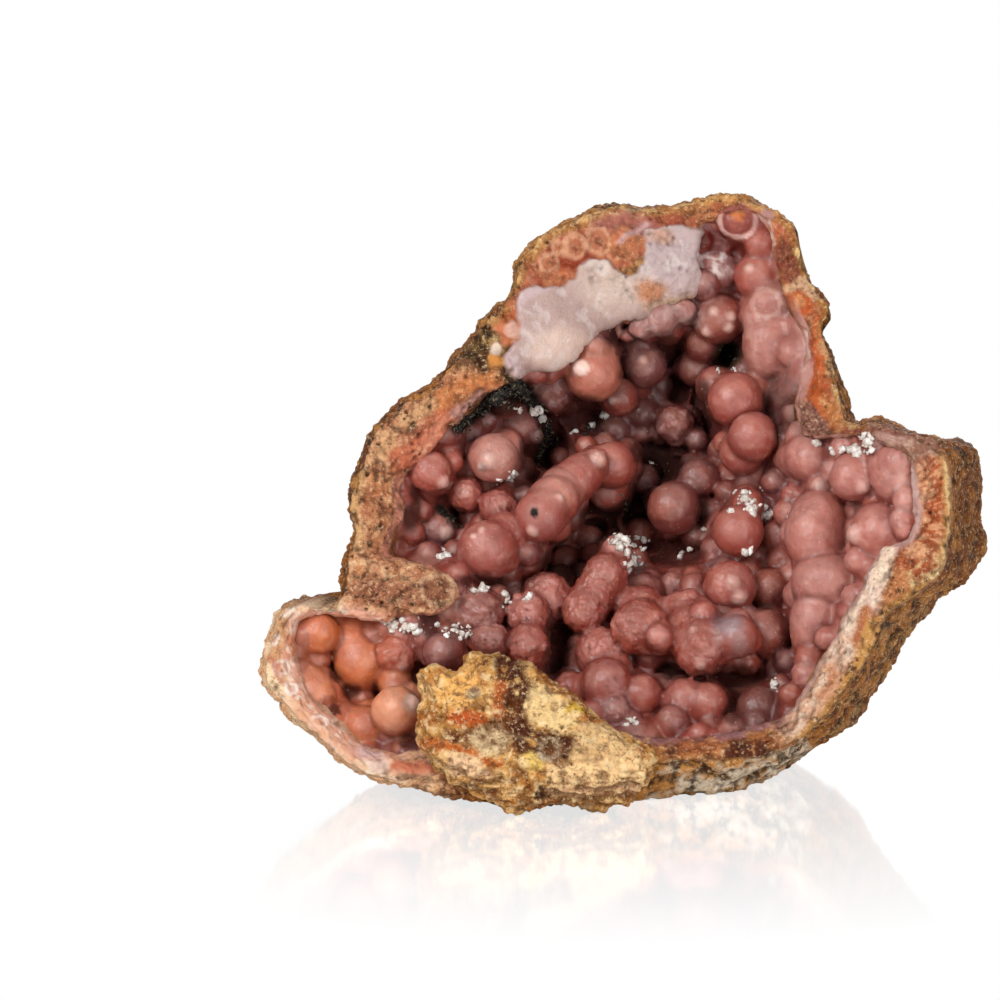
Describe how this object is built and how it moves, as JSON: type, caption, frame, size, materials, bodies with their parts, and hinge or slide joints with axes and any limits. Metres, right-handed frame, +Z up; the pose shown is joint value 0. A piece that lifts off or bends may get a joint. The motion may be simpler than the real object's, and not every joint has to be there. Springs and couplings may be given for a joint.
{
  "type": "broken geode lined with stalactitic chalcedony",
  "caption": "Broken-open geode: a brown rind with a fractured agate rim around a deep hollow lined with pink botryoidal lumps and short fingers of chalcedony.",
  "frame": {"origin": "the middle of the footprint of the bounding box, on the surface that the rock stands on", "axes": "+X to the right seen from the open side, +Y away from the open side, +Z up"},
  "size_m": [0.1114, 0.0806, 0.0852],
  "materials": {
    "rind": "rough weathered brown and ochre rind, with a grainy orange, tan and white broken rim",
    "chalcedony": "waxy translucent salmon pink chalcedony, smooth and softly glossy"
  },
  "bodies": {
    "root": {"geode_shell": "rind", "chalcedony_crust": "chalcedony"}
  },
  "joints": []
}
